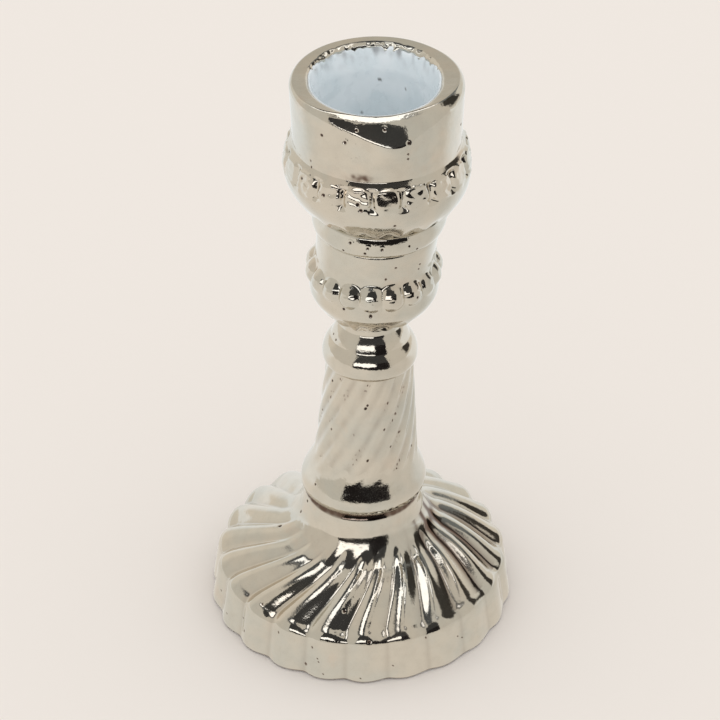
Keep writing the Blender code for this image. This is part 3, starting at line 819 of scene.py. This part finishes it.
def lustre():
    """Silver lustre: a thin metal film, mottled warm and cool, dull, and brown to black at pin
    holes and where shade is painted in grooves, joints, creases and at the floor.
    """
    material = bpy.data.materials.new("lustre_metal")
    material.use_nodes = True
    tree = material.node_tree
    shader = tree.nodes["Principled BSDF"]
    warm, cool, rosy = (0.725, 0.66, 0.565), (0.665, 0.64, 0.57), (0.74, 0.635, 0.53)
    colour = mixed(tree, step(tree, noise(tree, 11), 0.35, 0.65), cool, warm)
    colour = mixed(tree, step(tree, noise(tree, 7, 4), 0.56, 0.74, 0, 0.6), colour, rosy)
    thin = step(tree, noise(tree, 2.5, 4, 0.6), 0.35, 0.75, 1.0, 0.94)
    colour = mixed(tree, 1.0, colour, thin, "MULTIPLY")
    brown, soot_and_shadow = (0.16, 0.105, 0.08), (0.03, 0.025, 0.022)
    colour = mixed(tree, step(tree, marks_and_shade_input(tree), 0.0, 0.65), colour, brown)
    colour = mixed(tree, step(tree, marks_and_shade_input(tree), 0.7, 1.0), colour, soot_and_shadow)
    tree.links.new(colour, shader.inputs["Base Color"])
    shader.inputs["Metallic"].default_value = 1
    dull = step(tree, noise(tree, 5, 3), 0.3, 0.7, 0.04, 0.12)
    tree.links.new(dull, shader.inputs["Roughness"])
    grain = bumped(tree, noise(tree, 1.2, 3, 0.6), 0.03)
    tree.links.new(grain, shader.inputs["Normal"])
    return material


def white():
    """Cool white glaze with grey stains and specks where the lustre ends."""
    material = bpy.data.materials.new("tin_glaze")
    material.use_nodes = True
    tree = material.node_tree
    shader = tree.nodes["Principled BSDF"]
    clean, milky, stain_and_shade = (0.77, 0.83, 0.855), (0.86, 0.9, 0.92), (0.16, 0.15, 0.15)
    colour = mixed(tree, step(tree, noise(tree, 6, 2), 0.35, 0.65), clean, milky)
    colour = mixed(tree, marks_and_shade_input(tree), colour, stain_and_shade)
    tree.links.new(colour, shader.inputs["Base Color"])
    dull = step(tree, noise(tree, 3), 0.3, 0.7, 0.22, 0.4)
    tree.links.new(dull, shader.inputs["Roughness"])
    tree.links.new(bumped(tree, noise(tree, 2.5, 2), 0.05), shader.inputs["Normal"])
    return material


# Colours of the studio: the paper that the camera sees, and what only the mirror finish sees.
PALE = (0.871, 0.811, 0.752)
FRONT_WALL = (0.67, 0.645, 0.59)
SIDE_WALL = (0.79, 0.755, 0.685)
BRIGHT = (0.93, 0.95, 0.95)
DULL = (0.59, 0.555, 0.49)
CEILING = (0.085, 0.09, 0.095)
DARK_FLAG = (0.015, 0.013, 0.013)
GREY_FLAG = (0.05, 0.05, 0.05)
WINDOW = (1.65, 1.65, 1.65)
RING_LAMP = (1.7, 1.7, 1.7)

# Boxes in the sky: left, right, low and high edge in degrees, how soft the edges are, and colour.
SKY = (
    # Pale wall, high on the right.
    ((12, 116, 46, 84), 4, FRONT_WALL),
    # Grey screen and dark doorway on the far right.
    ((104, 150, 27, 60), 4, (0.2, 0.21, 0.21)),
    ((95, 121, 6, 43), 3, (0.05, 0.046, 0.04)),
    # Lamp on the left.
    ((-82, -12, 62, 76.5), 1.5, (1.7, 1.7, 1.7)),
    # Frame and face of the lamp on the right.
    ((52, 94, 55, 79), 2, (0.14, 0.14, 0.14)),
    ((59, 87, 60, 74), 2, (1.4, 1.4, 1.4)),
)

# The camera fitted to the photo: distance and aim height in metres, how steeply it looks down, lens
# and sensor in millimetres, and the image's width in pixels.
CAMERA_AWAY = 0.580
CAMERA_AIM = 0.0568
CAMERA_RISE = math.radians(36.5)
CAMERA_LENS = 149.5
SENSOR_WIDTH = 36
IMAGE_WIDTH = 720


def floor():
    """A plain pale floor that keeps the object's shadow, and glows in the mirror finish with
    painted shade, darker to the right and brighter behind.
    """
    size = 6.0
    corners = [(-size, -size, 0), (size, -size, 0), (size, size, 0), (-size, size, 0)]
    mesh = bpy.data.meshes.new("floor")
    mesh.from_pydata(corners, [], [(0, 1, 2, 3)])
    material = bpy.data.materials.new("floor_paper")
    material.use_nodes = True
    tree = material.node_tree
    shader = tree.nodes["Principled BSDF"]
    shader.inputs["Base Color"].default_value = (*PALE, 1)
    shader.inputs["Roughness"].default_value = 1
    shader.inputs["Specular IOR Level"].default_value = 0
    place = tree.nodes.new("ShaderNodeTexCoord").outputs["Object"]
    along = tree.nodes.new("ShaderNodeSeparateXYZ")
    tree.links.new(place, along.inputs[0])
    # Painted shade and light of the floor as the mirror finish sees it.
    near, right_side = (0.83, 0.8, 0.745), (0.72, 0.695, 0.645)
    colour = mixed(tree, step(tree, along.outputs["X"], -0.06, 0.12), near, right_side)
    colour = mixed(tree, step(tree, along.outputs["Y"], 0.0, 0.1), colour, BRIGHT)
    glow = tree.nodes.new("ShaderNodeEmission")
    tree.links.new(colour, glow.inputs["Color"])
    both = tree.nodes.new("ShaderNodeMixShader")
    glossy = tree.nodes.new("ShaderNodeLightPath").outputs["Is Glossy Ray"]
    for socket, value in zip(both.inputs, (glossy, shader.outputs[0], glow.outputs[0])):
        tree.links.new(value, socket)
    tree.links.new(both.outputs[0], tree.nodes["Material Output"].inputs["Surface"])
    mesh.materials.append(material)
    piece = bpy.data.objects.new("floor", mesh)
    bpy.context.scene.collection.objects.link(piece)


def mirrored_only(name, corners, faces, colour):
    """A glowing studio piece, in millimetres, that only the mirror finish shows."""
    mesh = bpy.data.meshes.new(name)
    mesh.from_pydata([[0.001 * v for v in corner] for corner in corners], [], faces)
    material = bpy.data.materials.new(name)
    material.use_nodes = True
    tree = material.node_tree
    glow = tree.nodes.new("ShaderNodeEmission")
    glow.inputs["Color"].default_value = (*colour, 1)
    tree.links.new(glow.outputs[0], tree.nodes["Material Output"].inputs["Surface"])
    mesh.materials.append(material)
    piece = bpy.data.objects.new(name, mesh)
    piece.visible_camera = piece.visible_diffuse = piece.visible_shadow = False
    bpy.context.scene.collection.objects.link(piece)


def card(name, left, right, low, high, away, colour):
    """An upright studio card in front of the object, whose lower edge may slant."""
    lower = [(left, -away, low[0]), (right, -away, low[1])]
    corners = lower + [(right, -away, high), (left, -away, high)]
    mirrored_only(name, corners, [(0, 1, 2, 3)], colour)


def ring_lamp(name, inner, outer, height, colour):
    """A level ring lamp above the object, open at the back."""
    reach, count = 1.9, 49
    turns = np.linspace(-reach, reach, count)
    corners = [(r * math.sin(t), -r * math.cos(t), height) for t in turns for r in (inner, outer)]
    faces = [(k, k + 1, k + 3, k + 2) for k in range(0, 2 * len(turns) - 2, 2)]
    mirrored_only(name, corners, faces, colour)


def patch(tree, side, rise, box, soft):
    """1 in a box of the sky given by its left, right, low and high edges in degrees."""
    left, right, low, high = box
    across = between(tree, side, left, right, soft)
    return calc(tree, "MULTIPLY", across, between(tree, rise, low, high, soft))


def room():
    """Even white light, and for the mirror finish pale walls under a grey ceiling with lamps."""
    world = bpy.data.worlds.new("studio")
    bpy.context.scene.world = world
    world.use_nodes = True
    tree = world.node_tree
    along = tree.nodes.new("ShaderNodeSeparateXYZ")
    tree.links.new(tree.nodes.new("ShaderNodeTexCoord").outputs["Generated"], along.inputs[0])
    x, y, z = along.outputs
    back = calc(tree, "MULTIPLY", y, -1.0)
    side = calc(tree, "DEGREES", calc(tree, "ARCTAN2", x, back))
    rise = calc(tree, "DEGREES", calc(tree, "ARCSINE", z))
    turn = calc(tree, "ABSOLUTE", side)
    rear_wall = mixed(tree, step(tree, rise, 8, 32), BRIGHT, DULL)
    colour = mixed(tree, step(tree, turn, 95, 125), FRONT_WALL, SIDE_WALL)
    colour = mixed(tree, step(tree, turn, 138, 162), colour, rear_wall)
    colour = mixed(tree, step(tree, rise, 50, 58), colour, CEILING)
    for box, soft, shade in SKY:
        colour = mixed(tree, patch(tree, side, rise, box, soft), colour, shade)
    path = tree.nodes.new("ShaderNodeLightPath").outputs
    colour = mixed(tree, path["Is Glossy Ray"], (1, 1, 1), colour)
    colour = mixed(tree, path["Is Camera Ray"], colour, PALE)
    tree.links.new(colour, tree.nodes["Background"].inputs["Color"])


def studio():
    """Pale floor, soft light from all round, and what stands before the object in its mirror."""
    floor()
    room()
    left, right, away = -218, 280, 290
    flag_top, flags_top = 195, 480
    card("dark_flag", left, right, (62, 20), flag_top, away, DARK_FLAG)
    card("grey_flag", left, right, (flag_top, flag_top), flags_top, away, GREY_FLAG)
    card("window_panel", left + 15, 60, (113, 113), flag_top - 4, away - 1, WINDOW)
    ring_lamp("ring_lamp", 36, 48, RIM + 52, RING_LAMP)


def camera():
    """Stands where the photograph was taken from."""
    data = bpy.data.cameras.new("camera")
    data.lens = CAMERA_LENS
    data.sensor_width = SENSOR_WIDTH
    data.shift_x = -1 / IMAGE_WIDTH
    data.clip_start, data.clip_end = 0.01, 20
    thing = bpy.data.objects.new("camera", data)
    behind, above = CAMERA_AWAY * math.cos(CAMERA_RISE), CAMERA_AWAY * math.sin(CAMERA_RISE)
    thing.location = (0, -behind, CAMERA_AIM + above)
    thing.rotation_euler = (math.pi / 2 - CAMERA_RISE, 0, 0)
    bpy.context.scene.collection.objects.link(thing)
    bpy.context.scene.camera = thing


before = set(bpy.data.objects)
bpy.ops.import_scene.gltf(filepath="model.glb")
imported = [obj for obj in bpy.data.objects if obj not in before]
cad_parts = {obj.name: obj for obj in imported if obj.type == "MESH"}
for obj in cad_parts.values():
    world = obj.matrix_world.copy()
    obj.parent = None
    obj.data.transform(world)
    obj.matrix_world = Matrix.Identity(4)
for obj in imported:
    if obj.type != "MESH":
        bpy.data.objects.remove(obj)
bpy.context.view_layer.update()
bpy.context.scene.view_settings.view_transform = "Standard"

silver, glaze = lustre(), white()
beads = [f"knop_bead_{i:02d}" for i in range(1, KNOP_BEAD_COUNT + 1)]
pads = [f"cup_bead_{i:02d}" for i in range(1, CUP_BEAD_COUNT + 1)]
for make, slot, stands_for in (
    (foot, silver, ["foot"]),
    (collar, silver, ["foot_collar"]),
    (base_ring, silver, ["stem_base_ring"]),
    (stem, silver, ["stem"]),
    (top_ring, silver, ["stem_top_ring"]),
    (knop, silver, ["knop"] + beads),
    (band, silver, ["neck_band"]),
    (cup, silver, ["candle_cup"] + pads),
    (lining, glaze, ["socket_lining"]),
):
    piece = make()
    piece.data.materials.append(slot)
    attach(piece, "root")
    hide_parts(*stands_for)
studio()
camera()
